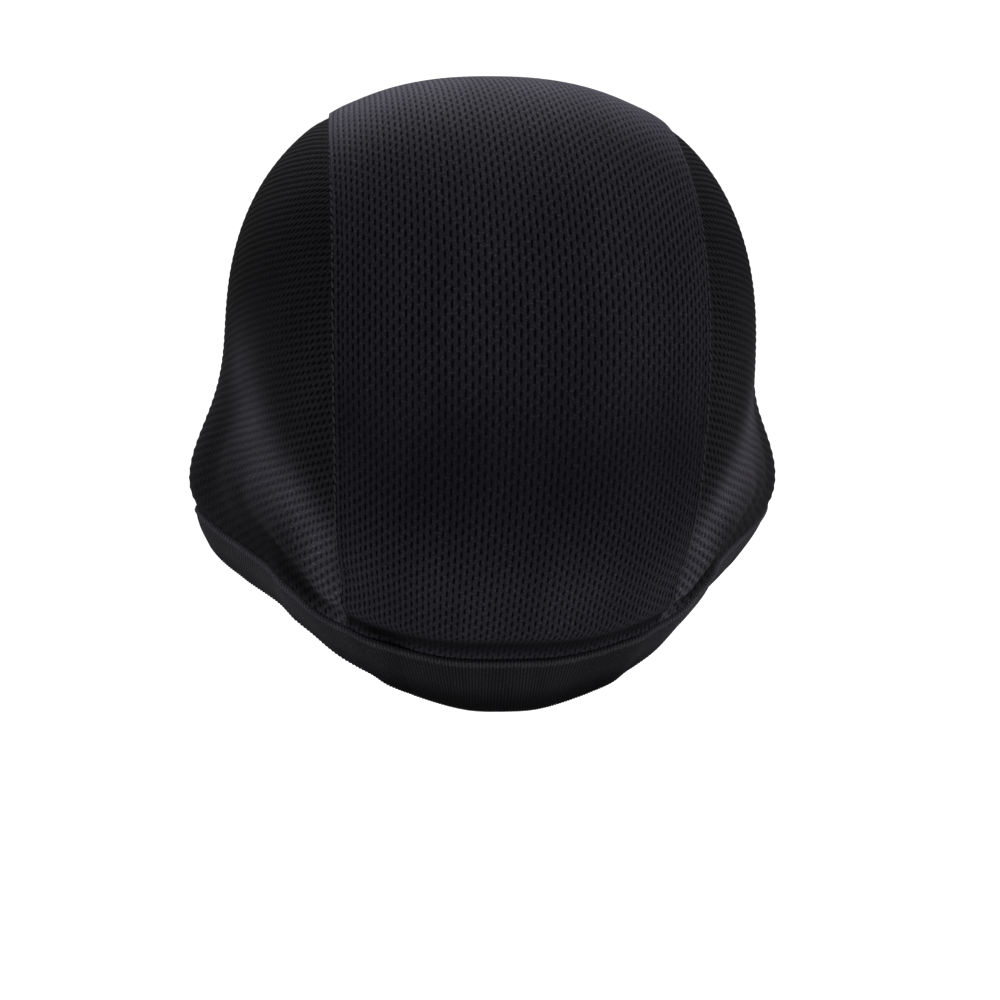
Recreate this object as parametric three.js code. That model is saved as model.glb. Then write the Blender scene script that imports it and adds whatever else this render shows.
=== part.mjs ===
// Helmet liner cap: a close skullcap of stretch mesh knit, drawn as it sits on a head, in millimetres.
// +Z is up, the wearer looks along -Y, and the wearer's left is +X. The origin is where the top of the
// head meets the inside of the crown. Each panel is a curved wall; the cloth's knit is too fine for it.
import * as THREE from "three";

// The head that the cap is stretched over
const headWidth = 152.5; // side to side, above and behind the ears
const headBackReach = 90; // from the widest place to the back of the head
const headFrontReach = 103; // from the widest place to the forehead
const crownRise = 76.5; // from the widest level up to the top of the head
const napeDepth = 99; // how far below the widest level the back of the head would close
const sideDepth = 100; // the same for the sides
const frontDepth = 120; // the same for the face
const planSquareness = 2.1; // outline seen from above: 2 is an ellipse, more is squarer
const earBelow = 40; // middle of the ears below the widest level
const earHeight = 60;
const earStand = 15; // how far an ear pushes the cloth out

// The cap
const panelWall = 1.2;
const bandWall = 1.8; // the band is folded double
const bandWidth = 19;
const centrePanelWidth = 106; // between the two long seams, at the back of the head
const napeDrop = 91; // band seam at the back, below the widest level
const earDrop = 48; // band seam at the ears, below the widest level
const foreheadRise = 26; // band seam at the forehead, above the widest level
const seamGap = 0.3; // between neighbouring pieces
const seamDip = 0.7; // how deep the cloth dips into a seam
const seamDipReach = 3.5; // how far from a seam the dip fades
const napePuff = 1.6; // cloth standing over the band seam at the nape
const napePuffRise = 9.5; // how far above the seam it stands out most
const bandCrown = 0.9; // how far the middle of the band bows out

// Fineness of the facets
const centreAcross = 12;
const centreAlong = 50;
const sideAlong = 38;
const sideDown = 20;
const bandAround = 88;
const bandAcross = 4;
const hemTurns = 2; // facets of the folded edge on each side of its tip

// The head's section at the back, side and front: reach from the middle, depth at which it would close
// below, and roundness, where 2 is an ellipse and more is squarer
const headSections = {
  back: { reach: headBackReach, depth: napeDepth, roundness: 2.0 },
  side: { reach: headWidth / 2, depth: sideDepth, roundness: 2.36 },
  front: { reach: headFrontReach, depth: frontDepth, roundness: 2.2 },
};

// The long seams: half the centre panel's width as a share of centrePanelWidth / 2, by the angle over
// the head, which is 0 straight back, 90 at the crown and 180 straight ahead
const seamRows = [
  { over: -72, width: 0.85 },
  { over: -48, width: 0.95 },
  { over: -20, width: 0.99 },
  { over: 6, width: 1.0 },
  { over: 36, width: 0.98 },
  { over: 65, width: 0.94 },
  { over: 100, width: 0.86 },
  { over: 170, width: 0.78 },
];

// The band, by the angle around the head, which is 0 at the back, 90 at the side and 180 at the front:
// the height of its seam, and the way in which it runs from the seam to the hem, towards the middle,
// forward and down. Behind the ears it turns under.
const bandRows = [
  { around: 0, seam: -napeDrop, inward: 0, forward: 0.5, down: 0.87 },
  { around: 35, seam: -0.98 * napeDrop, inward: 0.24, forward: 0.52, down: 0.82 },
  { around: 61, seam: -0.875 * napeDrop, inward: 0.42, forward: 0.4, down: 0.72 },
  { around: 76, seam: -0.725 * napeDrop, inward: 0.27, forward: 0.69, down: 0.65 },
  { around: 87, seam: -0.637 * napeDrop, inward: 0.13, forward: 0.8, down: 0.61 },
  { around: 98, seam: -0.94 * earDrop, inward: 0.28, forward: 0.68, down: 0.68 },
  { around: 107, seam: -0.93 * earDrop, inward: 0.36, forward: 0.4, down: 0.84 },
  { around: 119, seam: -0.72 * earDrop, inward: 0.32, forward: 0.08, down: 0.94 },
  { around: 135, seam: -0.3 * earDrop, inward: 0.12, forward: 0, down: 0.99 },
  { around: 157, seam: 0.55 * foreheadRise, inward: 0, forward: 0.1, down: 0.99 },
  { around: 180, seam: foreheadRise, inward: 0, forward: 0.16, down: 0.98 },
];

// Points that a fold passes through, on both sides of the head: the angle around, the height from the
// middle of the ear and the spread as shares of earHeight, and the rise as a share of earStand. The
// ridge runs from the temple over the ear, and its tail is the taut fold down to the nape. The hollow
// lies above the tail, and the tuck below it, where the cloth turns under. At the foot the band holds
// the cloth out again.
const ridgeRows = [
  { angle: 138, height: 0.45, rise: 0.1, spread: 0.18 },
  { angle: 115, height: -0.02, rise: 0.86, spread: 0.28 },
  { angle: 99, height: -0.03, rise: 1.02, spread: 0.26 },
  { angle: 82, height: -0.02, rise: 0.52, spread: 0.19 },
  { angle: 70, height: -0.04, rise: 0.32, spread: 0.13 },
  { angle: 63, height: -0.2, rise: 0.25, spread: 0.1 },
  { angle: 57, height: -0.36, rise: 0.18, spread: 0.09 },
  { angle: 52, height: -0.54, rise: 0.06, spread: 0.08 },
];
const hollowRows = [
  { angle: 76, height: 0.34, rise: -0.05, spread: 0.15 },
  { angle: 60, height: 0.12, rise: -0.07, spread: 0.12 },
  { angle: 51, height: -0.14, rise: -0.04, spread: 0.08 },
];
const tuckRows = [
  { angle: 79, height: -0.24, rise: -0.05, spread: 0.08 },
  { angle: 70, height: -0.33, rise: -0.1, spread: 0.075 },
  { angle: 62, height: -0.46, rise: -0.1, spread: 0.07 },
  { angle: 56, height: -0.58, rise: -0.04, spread: 0.06 },
];
const footRows = [
  { angle: 92, height: -0.34, rise: 0.03, spread: 0.12 },
  { angle: 76, height: -0.5, rise: 0.22, spread: 0.11 },
  { angle: 61, height: -0.69, rise: 0.13, spread: 0.1 },
  { angle: 46, height: -0.82, rise: 0.02, spread: 0.08 },
];

const foldTables = [ridgeRows, hollowRows, tuckRows, footRows];

const degrees = THREE.MathUtils.degToRad;

// The angles between which a seam is looked for: towards the side, up and down, and over the head
const leanRange = [0, degrees(69)];
const tiltRange = [degrees(-80), degrees(80)];
const napeEnd = [degrees(-86), 0];
const foreheadEnd = [degrees(90), degrees(206)];

const middle = new THREE.Vector3(0, 0, -crownRise);

// One column of a table at a place between its rows, as a smooth curve that is level at both ends
function column(rows, key, name, place) {
  const last = rows.length - 1;
  const at = THREE.MathUtils.clamp(place, rows[0][key], rows[last][key]);
  let i = 0;
  while (i < last - 1 && at > rows[i + 1][key]) i++;
  const slope = (k) =>
    k === 0 || k === last ? 0 : (rows[k + 1][name] - rows[k - 1][name]) / (rows[k + 1][key] - rows[k - 1][key]);
  const span = rows[i + 1][key] - rows[i][key];
  const t = (at - rows[i][key]) / span;
  const h = t * t * (3 - 2 * t);
  return (
    rows[i][name] * (1 - h) +
    rows[i + 1][name] * h +
    span * t * (1 - t) * (slope(i) * (1 - t) - slope(i + 1) * t)
  );
}

// Height of the band seam from the widest level, at an angle around the head in radians
const seamHeight = (around) => column(bandRows, "around", "seam", THREE.MathUtils.radToDeg(around));

// Half width of the centre panel at an angle over the head in radians
const halfPanel = (over) =>
  (centrePanelWidth / 2) * column(seamRows, "over", "width", THREE.MathUtils.radToDeg(over));

// Angle over the head, running on past straight back to the nape and past straight ahead to the face
function overAngle(y, z) {
  const angle = Math.atan2(z, y);
  return angle < -Math.PI / 2 ? angle + 2 * Math.PI : angle;
}

// The bare head in a direction from its middle
function headPoint(direction) {
  const flat = Math.hypot(direction.x, direction.y);
  const sideShare = flat > 0 ? Math.abs(direction.x) / flat : 0;
  const endShare = flat > 0 ? Math.abs(direction.y) / flat : 0;
  const { side } = headSections;
  const end = direction.y >= 0 ? headSections.back : headSections.front;
  const mix = (name) => side[name] * sideShare ** 2 + end[name] * (1 - sideShare ** 2);
  const plan =
    ((sideShare / side.reach) ** planSquareness + (endShare / end.reach) ** planSquareness) **
    (-1 / planSquareness);
  const roundness = mix("roundness");
  const depth = direction.z >= 0 ? crownRise : mix("depth");
  const reach =
    ((flat / plan) ** roundness + (Math.abs(direction.z) / depth) ** roundness) ** (-1 / roundness);
  return direction.clone().multiplyScalar(reach);
}

// How far one straight stretch of a fold lifts the cloth, at an arc around the head and a height
function stretchLift(from, to, arc, height) {
  const armX = (degrees(to.angle - from.angle) * headWidth) / 2;
  const armY = (to.height - from.height) * earHeight;
  const awayX = arc - (degrees(from.angle) * headWidth) / 2;
  const awayY = height + earBelow - from.height * earHeight;
  const t = THREE.MathUtils.clamp((awayX * armX + awayY * armY) / (armX ** 2 + armY ** 2), 0, 1);
  const away = Math.hypot(awayX - t * armX, awayY - t * armY);
  const spread = THREE.MathUtils.lerp(from.spread, to.spread, t) * earHeight;
  return THREE.MathUtils.lerp(from.rise, to.rise, t) * earStand * Math.exp(-0.5 * (away / spread) ** 2);
}

// How far a whole fold lifts the cloth: mostly as its highest stretch does, with no crease between them
function foldLift(rows, arc, height) {
  const lifts = rows.slice(1).map((row, i) => stretchLift(rows[i], row, arc, height));
  const total = (power) => lifts.reduce((sum, lift) => sum + Math.abs(lift) ** power, 0);
  return Math.sign(lifts[0]) * (total(4) / Math.max(total(3), Number.EPSILON));
}

// How far the cloth stands off the bare head: over the ears, into the seams, and over the nape
function clothLift(point) {
  const around = Math.atan2(Math.abs(point.x), point.y);
  const arc = (around * headWidth) / 2;
  const folds = foldTables.reduce((sum, rows) => sum + foldLift(rows, arc, point.z), 0);
  const fromSeam = Math.abs(point.x) - halfPanel(overAngle(point.y, point.z));
  const fromBand = Math.max(point.z - seamHeight(around), 0);
  const dips = Math.exp(-((fromSeam / seamDipReach) ** 2)) + Math.exp(-((fromBand / seamDipReach) ** 2));
  const nape = Math.max(Math.cos(around), 0) ** 2 * Math.exp(-(((fromBand - napePuffRise) / seamDipReach) ** 2));
  return folds - seamDip * dips + napePuff * nape;
}

// The cloth's inner face in a direction from the middle of the head, measured from that middle
function innerPoint(direction) {
  const point = headPoint(direction);
  return point.addScaledVector(outward(headPoint, direction), clothLift(point));
}

// Outward normal of a surface that is given by direction
function outward(surface, direction) {
  const step = 0.004;
  const aside = new THREE.Vector3(0, direction.z, -direction.y).normalize();
  const along = new THREE.Vector3().crossVectors(direction, aside).normalize();
  const slope = (way) =>
    surface(direction.clone().addScaledVector(way, step).normalize()).sub(
      surface(direction.clone().addScaledVector(way, -step).normalize()),
    );
  const normal = slope(aside).cross(slope(along)).normalize();
  return normal.dot(direction) < 0 ? normal.negate() : normal;
}

// Where a value crosses zero between two angles
function crossing(value, [low, high]) {
  const sign = Math.sign(value(low));
  for (let i = 0; i < 40; i++) {
    const mid = (low + high) / 2;
    if (Math.sign(value(mid)) === sign) low = mid;
    else high = mid;
  }
  return (low + high) / 2;
}

// Direction at an angle over the head and an angle towards the side
const direct = (over, lean) =>
  new THREE.Vector3(Math.sin(lean), Math.cos(lean) * Math.cos(over), Math.cos(lean) * Math.sin(over));

// Direction on the long seam, moved off it by some millimetres, on the +X side
function seamDirection(over, off) {
  const lean = crossing((angle) => headPoint(direct(over, angle)).x - halfPanel(over), leanRange);
  return direct(over, lean + off / headPoint(direct(over, lean)).length());
}

// Direction on the band seam at an angle around the head, moved up from it by some millimetres
function bandDirection(around, off) {
  const toward = (tilt) =>
    new THREE.Vector3(Math.sin(around) * Math.cos(tilt), Math.cos(around) * Math.cos(tilt), Math.sin(tilt));
  const tilt = crossing((angle) => headPoint(toward(angle)).z - seamHeight(around), tiltRange);
  return toward(tilt + off / headPoint(toward(tilt)).length());
}

// How far a direction lies above the band seam
function aboveBand(direction) {
  const point = headPoint(direction);
  return point.z - seamHeight(Math.atan2(Math.abs(point.x), point.y));
}

// The band's run at an angle around the head, from -PI to PI with the wearer's left positive: its
// first inner point, its way to the hem, its outward normal, and the mitre it shares with the panels
function bandStation(around) {
  const size = Math.abs(around);
  const mirror = around < 0 ? -1 : 1;
  const at = THREE.MathUtils.radToDeg(size);
  const direction = bandDirection(size, 0);
  const start = innerPoint(direction);
  const way = new THREE.Vector3(
    -column(bandRows, "around", "inward", at),
    -column(bandRows, "around", "forward", at),
    -column(bandRows, "around", "down", at),
  ).normalize();
  const step = 0.01;
  const ahead = innerPoint(bandDirection(Math.min(size + step, Math.PI), 0));
  const behind = innerPoint(bandDirection(Math.max(size - step, 0), 0));
  const normal = ahead.sub(behind).cross(way).normalize();
  if (size < step || size > Math.PI - step) normal.setX(0).normalize();
  if (normal.dot(direction) < 0) normal.negate();
  const mitre = outward(innerPoint, direction).add(normal).normalize();
  for (const vector of [start, way, normal, mitre]) vector.x *= mirror;
  return { start, way, normal, mitre };
}

// One point of a panel's wall: its inner and outer face, with the edge on the band seam mitred
function wallPoint(direction, onBand) {
  const inner = innerPoint(direction);
  const around = Math.atan2(direction.x, direction.y);
  const normal = onBand ? bandStation(around).mitre : outward(innerPoint, direction);
  return { inner: inner.clone().add(middle), outer: inner.clone().addScaledVector(normal, panelWall).add(middle) };
}

// A wall as one closed mesh, from rows of wall points. A row of one point is a corner.
function wall(rows, name, material) {
  const positions = [];
  const indices = [];
  const number = rows.map((row) =>
    row.map(({ inner, outer }) => {
      positions.push(...outer.toArray(), ...inner.toArray());
      return positions.length / 3 - 2;
    }),
  );
  const face = (...corners) => {
    if (new Set(corners).size === 3) indices.push(...corners);
  };
  const quad = (a, b, c, d) => {
    face(a, b, c);
    face(a, c, d);
  };
  const at = (i, j) => number[i][Math.min(j, number[i].length - 1)];
  const lastRow = rows.length - 1;
  const lastStep = Math.max(...rows.map((row) => row.length)) - 1;
  for (let i = 0; i < lastRow; i++) {
    for (let j = 0; j < lastStep; j++) {
      quad(at(i, j), at(i + 1, j), at(i + 1, j + 1), at(i, j + 1));
      quad(at(i, j) + 1, at(i, j + 1) + 1, at(i + 1, j + 1) + 1, at(i + 1, j) + 1);
    }
    quad(at(i, 0), at(i, 0) + 1, at(i + 1, 0) + 1, at(i + 1, 0));
    quad(at(i, lastStep), at(i + 1, lastStep), at(i + 1, lastStep) + 1, at(i, lastStep) + 1);
  }
  for (let j = 0; j < lastStep; j++) {
    quad(at(0, j), at(0, j + 1), at(0, j + 1) + 1, at(0, j) + 1);
    quad(at(lastRow, j), at(lastRow, j) + 1, at(lastRow, j + 1) + 1, at(lastRow, j + 1));
  }
  return solid(positions, indices, name, material);
}

function solid(positions, indices, name, material) {
  const geometry = new THREE.BufferGeometry();
  geometry.setAttribute("position", new THREE.Float32BufferAttribute(positions, 3));
  geometry.setIndex(indices);
  geometry.computeVertexNormals();
  const mesh = new THREE.Mesh(geometry, material);
  mesh.name = name;
  return mesh;
}

// Steps from 0 to 1
const steps = (count) => Array.from({ length: count + 1 }, (_, i) => i / count);

// The centre panel runs over the head from the nape to the forehead, between the two long seams
function centrePanel(material) {
  const leanAt = (over, across) => {
    const edge = seamDirection(over, -seamGap / 2);
    return direct(over, Math.asin(edge.x) * across);
  };
  const endAt = (across, range) =>
    crossing((over) => aboveBand(leanAt(over, across)) - seamGap / 2, range);
  const rows = steps(centreAcross).map((share) => {
    const across = Math.sin((share - 0.5) * Math.PI);
    const start = endAt(across, napeEnd);
    const end = endAt(across, foreheadEnd);
    return steps(centreAlong).map((along) => {
      const over = THREE.MathUtils.lerp(start, end, along);
      return wallPoint(leanAt(over, across), along === 0 || along === 1);
    });
  });
  return wall(rows.reverse(), "centre_panel", material);
}

// A side panel is a half moon from the long seam down to the band seam, with a corner at each end
function sidePanel(mirror, name, material) {
  const cornerAt = (range) =>
    crossing((over) => aboveBand(seamDirection(over, seamGap / 2)) - seamGap / 2, range);
  const overStart = cornerAt(napeEnd);
  const overEnd = cornerAt(foreheadEnd);
  const aroundOf = (over) => {
    const direction = seamDirection(over, seamGap / 2);
    return Math.atan2(direction.x, direction.y);
  };
  const aroundStart = aroundOf(overStart);
  const aroundEnd = aroundOf(overEnd);
  const rows = steps(sideAlong).map((along) => {
    const top = seamDirection(THREE.MathUtils.lerp(overStart, overEnd, along), seamGap / 2);
    if (along === 0 || along === 1) return [wallPoint(top, true)];
    const foot = bandDirection(THREE.MathUtils.lerp(aroundStart, aroundEnd, along), seamGap / 2);
    const apart = top.angleTo(foot);
    return steps(sideDown).map((down) => {
      const direction = top
        .clone()
        .multiplyScalar(Math.sin((1 - down) * apart))
        .addScaledVector(foot, Math.sin(down * apart))
        .normalize();
      return wallPoint(direction, down === 1);
    });
  });
  for (const row of rows)
    for (const point of row)
      for (const side of [point.inner, point.outer]) side.x *= mirror;
  return wall(mirror > 0 ? rows : rows.reverse(), name, material);
}

// The band is one loop of cloth folded double: its section runs down the outside, round the folded
// hem and up the inside
function band(material) {
  const positions = [];
  const indices = [];
  let sectionSize = 0;
  for (let i = 0; i < bandAround; i++) {
    const turn = -Math.PI + (2 * Math.PI * i) / bandAround;
    const { start, way, normal, mitre } = bandStation(turn);
    const place = (down, out) => {
      const bow = bandCrown * Math.sin(Math.PI * down) * (1 - down / 2);
      const first = down === 0 ? mitre : normal;
      return start
        .clone()
        .add(middle)
        .addScaledVector(way, seamGap / 2 + down * (bandWidth - bandWall / 2 - seamGap / 2))
        .addScaledVector(normal, bow)
        .addScaledVector(first, out * bandWall);
    };
    const section = steps(bandAcross).map((down) => place(down, 1));
    for (let k = 1; k < 2 * hemTurns; k++) {
      const angle = (Math.PI * k) / (2 * hemTurns);
      section.push(
        place(1, (1 + Math.cos(angle)) / 2).addScaledVector(way, (Math.sin(angle) * bandWall) / 2),
      );
    }
    section.push(...steps(bandAcross).reverse().map((down) => place(down, 0)));
    sectionSize = section.length;
    for (const point of section) positions.push(...point.toArray());
  }
  for (let i = 0; i < bandAround; i++) {
    const here = i * sectionSize;
    const next = ((i + 1) % bandAround) * sectionSize;
    for (let k = 0; k < sectionSize; k++) {
      const l = (k + 1) % sectionSize;
      indices.push(here + k, next + k, next + l, here + k, next + l, here + l);
    }
  }
  return solid(positions, indices, "band", material);
}

// Black mesh knit, a shade lighter on the side panels, and the closer knit of the band
const cloth = (color) => new THREE.MeshStandardMaterial({ color, roughness: 0.85, metalness: 0 });
const centreCloth = cloth(0x1d1c20);
const sideCloth = cloth(0x212023);
const bandCloth = cloth(0x1b1b1e);

const cap = new THREE.Group();
cap.add(
  centrePanel(centreCloth),
  sidePanel(1, "left_panel", sideCloth),
  sidePanel(-1, "right_panel", sideCloth),
  band(bandCloth),
);

export default cap;
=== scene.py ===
# Helmet liner cap: a close skullcap of black stretch mesh knit, in the form that it has on a head. It is
# sewn from a centre panel, two side panels and a folded band. Lengths are in metres and the frame is the
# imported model's: +Z up, the wearer looks along -Y, and the wearer's left is +X.
import math

import bpy
import numpy as np
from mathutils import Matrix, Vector
from mathutils.geometry import delaunay_2d_cdt


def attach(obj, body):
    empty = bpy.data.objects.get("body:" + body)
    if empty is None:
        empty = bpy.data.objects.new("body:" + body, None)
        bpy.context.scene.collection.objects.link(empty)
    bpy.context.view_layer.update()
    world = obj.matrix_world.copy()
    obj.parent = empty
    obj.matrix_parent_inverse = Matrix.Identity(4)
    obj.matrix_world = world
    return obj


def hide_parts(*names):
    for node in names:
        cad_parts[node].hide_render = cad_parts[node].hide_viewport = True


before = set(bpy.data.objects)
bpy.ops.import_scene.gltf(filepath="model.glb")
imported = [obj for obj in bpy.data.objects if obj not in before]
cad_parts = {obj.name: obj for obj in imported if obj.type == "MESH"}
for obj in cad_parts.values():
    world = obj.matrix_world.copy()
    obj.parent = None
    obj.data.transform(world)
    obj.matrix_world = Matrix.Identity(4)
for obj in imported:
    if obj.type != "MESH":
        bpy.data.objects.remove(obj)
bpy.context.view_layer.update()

# Camera
# It stands behind the wearer and 8 degrees round to the wearer's left, a little above the cap's middle. Its
# lens is long, so that the cap fills the square picture from 1.4 m away.
camera_azimuth = math.radians(172)
camera_elevation = math.radians(3)
camera_distance = 1.4
camera_height = -0.1235
camera_aside = 0.003
lens_of_frame = 4.741

camera_way = Vector((
    math.sin(camera_azimuth) * math.cos(camera_elevation),
    -math.cos(camera_azimuth) * math.cos(camera_elevation),
    math.sin(camera_elevation),
))
to_the_right = (-camera_way).cross(Vector((0, 0, 1))).normalized()
aim = Vector((0, 0, camera_height)) + to_the_right * camera_aside
camera_data = bpy.data.cameras.new("camera")
camera_data.sensor_width = 36
camera_data.lens = camera_data.sensor_width * lens_of_frame
camera_data.clip_start = 0.05
camera_data.clip_end = 60
camera = bpy.data.objects.new("camera", camera_data)
camera.location = aim + camera_way * camera_distance
camera.rotation_euler = (-camera_way).to_track_quat("-Z", "Y").to_euler()
bpy.context.scene.collection.objects.link(camera)
bpy.context.scene.camera = camera

# Centre panel
# One long piece of eyelet mesh knit that runs over the head from the nape to the forehead, cut widest over
# the back. It is stretched over the crown, so it takes the head's form, and dips into the seams around it.
crown_rise = 0.0765
head_width = 0.1525
plan_squareness = 2.1
panel_wall = 0.0012
seam_gap = 0.0003
centre_width = 0.106
nape_drop = 0.091
ear_drop = 0.048
forehead_rise = 0.026
ear_below = 0.040
ear_height = 0.060
ear_stand = 0.015
seam_dip = 0.0007
seam_dip_reach = 0.0035
nape_puff = 0.0016
nape_puff_rise = 0.0095

# Reach from the head's middle, depth at which the section would close below, and roundness
head_back = {"reach": 0.090, "depth": 0.099, "roundness": 2.0}
head_side = {"reach": head_width / 2, "depth": 0.100, "roundness": 2.36}
head_front = {"reach": 0.103, "depth": 0.120, "roundness": 2.2}

# The long seams: angle over the head, and half the panel's width as a share of centre_width / 2
seam_over = (-72, -48, -20, 6, 36, 65, 100, 170)
seam_share = (0.85, 0.95, 0.99, 1.0, 0.98, 0.94, 0.86, 0.78)

# The band seam: angle around the head, and its height from the widest level
band_around = (0, 35, 61, 76, 87, 98, 107, 119, 135, 157, 180)
band_seam = (
    -nape_drop, -0.98 * nape_drop, -0.875 * nape_drop, -0.725 * nape_drop, -0.637 * nape_drop,
    -0.94 * ear_drop, -0.93 * ear_drop, -0.72 * ear_drop, -0.3 * ear_drop,
    0.55 * forehead_rise, forehead_rise,
)

# The band's way from its seam to its hem, at the same angles
hem_inward = (0, 0.24, 0.42, 0.27, 0.13, 0.28, 0.36, 0.32, 0.12, 0, 0)
hem_forward = (0.5, 0.52, 0.4, 0.69, 0.8, 0.68, 0.4, 0.08, 0, 0.1, 0.16)
hem_down = (0.87, 0.82, 0.72, 0.65, 0.61, 0.68, 0.84, 0.94, 0.99, 0.99, 0.98)

# Folds: angle around, then height from the ear's middle, rise and spread in shares of the ear. The ridge
# runs from the temple over the ear and down to the nape, with a hollow above it and the cloth tucked under
# below.
ear_ridge = (
    (138, 0.45, 0.1, 0.18), (115, -0.02, 0.86, 0.28), (99, -0.03, 1.02, 0.26), (82, -0.02, 0.52, 0.19),
    (70, -0.04, 0.32, 0.13), (63, -0.2, 0.25, 0.1), (57, -0.36, 0.18, 0.09), (52, -0.54, 0.06, 0.08),
)
ear_hollow = ((76, 0.34, -0.05, 0.15), (60, 0.12, -0.07, 0.12), (51, -0.14, -0.04, 0.08))
ear_tuck = (
    (79, -0.24, -0.05, 0.08), (70, -0.33, -0.1, 0.075), (62, -0.46, -0.1, 0.07), (56, -0.58, -0.04, 0.06),
)
ear_foot = (
    (92, -0.34, 0.03, 0.12), (76, -0.5, 0.22, 0.11), (61, -0.69, 0.13, 0.1), (46, -0.82, 0.02, 0.08),
)

head_middle = np.array((0, 0, -crown_rise))


def along_table(places, values, place):
    """A smooth curve through a table's rows, level at both ends."""
    places, values = np.array(places, float), np.array(values, float)
    slopes = np.zeros(len(places))
    slopes[1:-1] = (values[2:] - values[:-2]) / (places[2:] - places[:-2])
    at = np.clip(place, places[0], places[-1])
    i = np.clip(np.searchsorted(places, at) - 1, 0, len(places) - 2)
    span = places[i + 1] - places[i]
    t = (at - places[i]) / span
    h = t * t * (3 - 2 * t)
    bend = span * t * (1 - t) * (slopes[i] * (1 - t) - slopes[i + 1] * t)
    return values[i] * (1 - h) + values[i + 1] * h + bend


def unit(vectors):
    return vectors / np.maximum(np.linalg.norm(vectors, axis=-1, keepdims=True), 1e-12)


def hump(value, middle, spread):
    """1 at the middle of a lip, groove or patch, falling away on both sides."""
    return np.exp(-(((value - middle) / spread) ** 2))


def seam_height(around):
    return along_table(band_around, band_seam, np.degrees(around))


def half_panel(over):
    return centre_width / 2 * along_table(seam_over, seam_share, np.degrees(over))


def over_angle(points):
    angle = np.arctan2(points[..., 2], points[..., 1])
    return np.where(angle < -math.pi / 2, angle + 2 * math.pi, angle)


def around_angle(points):
    return np.arctan2(np.abs(points[..., 0]), points[..., 1])


def head_point(way):
    """The bare head in a direction from its middle."""
    flat = np.hypot(way[..., 0], way[..., 1])
    safe = np.maximum(flat, 1e-9)
    side, end = np.abs(way[..., 0]) / safe, np.abs(way[..., 1]) / safe
    back = way[..., 1] >= 0

    def mix(name):
        other = np.where(back, head_back[name], head_front[name])
        return head_side[name] * side**2 + other * (1 - side**2)

    end_reach = np.where(back, head_back["reach"], head_front["reach"])
    s = plan_squareness
    plan = ((side / head_side["reach"]) ** s + (end / end_reach) ** s) ** (-1 / s)
    roundness = mix("roundness")
    depth = np.where(way[..., 2] >= 0, crown_rise, mix("depth"))
    reach = ((flat / plan) ** roundness + (np.abs(way[..., 2]) / depth) ** roundness) ** (-1 / roundness)
    return way * reach[..., None]


def fold_lift(rows, arc, height):
    """How far a whole fold lifts the cloth, mostly as its highest stretch does."""
    lifts = []
    for a, b in zip(rows[:-1], rows[1:]):
        arm_x = math.radians(b[0] - a[0]) * head_width / 2
        arm_y = (b[1] - a[1]) * ear_height
        away_x = arc - math.radians(a[0]) * head_width / 2
        away_y = height + ear_below - a[1] * ear_height
        t = np.clip((away_x * arm_x + away_y * arm_y) / (arm_x**2 + arm_y**2), 0, 1)
        away = np.hypot(away_x - t * arm_x, away_y - t * arm_y)
        spread = (a[3] + (b[3] - a[3]) * t) * ear_height
        lifts.append((a[2] + (b[2] - a[2]) * t) * ear_stand * np.exp(-0.5 * (away / spread) ** 2))
    lifts = np.array(lifts)
    total = (np.abs(lifts) ** 3).sum(axis=0)
    return np.sign(rows[0][2]) * (lifts**4).sum(axis=0) / np.maximum(total, 1e-30)


def cloth_lift(point):
    """How far the cloth stands off the bare head: over the ears, into the seams and over the nape."""
    around = around_angle(point)
    arc = around * head_width / 2
    folds = (ear_ridge, ear_hollow, ear_tuck, ear_foot)
    folded = sum(fold_lift(rows, arc, point[..., 2]) for rows in folds)
    from_seam = np.abs(point[..., 0]) - half_panel(over_angle(point))
    from_band = np.maximum(point[..., 2] - seam_height(around), 0)
    dips = hump(from_seam, 0, seam_dip_reach) + hump(from_band, 0, seam_dip_reach)
    puff = np.maximum(np.cos(around), 0) ** 2 * hump(from_band, nape_puff_rise, seam_dip_reach)
    return folded - seam_dip * dips + nape_puff * puff


def outward(surface, way):
    """Outward normal of a surface that is given by direction."""
    aside = unit(np.stack((np.zeros(way.shape[:-1]), way[..., 2], -way[..., 1]), axis=-1))
    along = unit(np.cross(way, aside))
    step = 0.004
    slopes = [surface(unit(way + v * step)) - surface(unit(way - v * step)) for v in (aside, along)]
    normal = unit(np.cross(*slopes))
    return np.where((normal * way).sum(axis=-1, keepdims=True) < 0, -normal, normal)


def cloth_point(way):
    """The cloth's inner face in a direction, measured from the head's middle."""
    point = head_point(way)
    return point + outward(head_point, way) * cloth_lift(point)[..., None]


def crossing(value, low, high):
    """Where a value crosses zero between two angles, for a whole array at once."""
    halvings = 34
    low, high = np.array(low, float), np.array(high, float)
    sign = np.sign(value(low))
    for _ in range(halvings):
        mid = (low + high) / 2
        same = np.sign(value(mid)) == sign
        low, high = np.where(same, mid, low), np.where(same, high, mid)
    return (low + high) / 2


def direct(over, lean):
    """Direction at an angle over the head, from the back up, that leans to the wearer's left."""
    return np.stack((np.sin(lean), np.cos(lean) * np.cos(over), np.cos(lean) * np.sin(over)), axis=-1)


def seam_lean(over, off):
    """How far the long seam leans to the side at an angle over the head, moved off it by a distance."""
    upright, widest = np.zeros(np.shape(over)), 1.2
    lean = crossing(
        lambda a: head_point(direct(over, a))[..., 0] - half_panel(over), upright, upright + widest
    )
    return lean + off / np.linalg.norm(head_point(direct(over, lean)), axis=-1)


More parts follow.
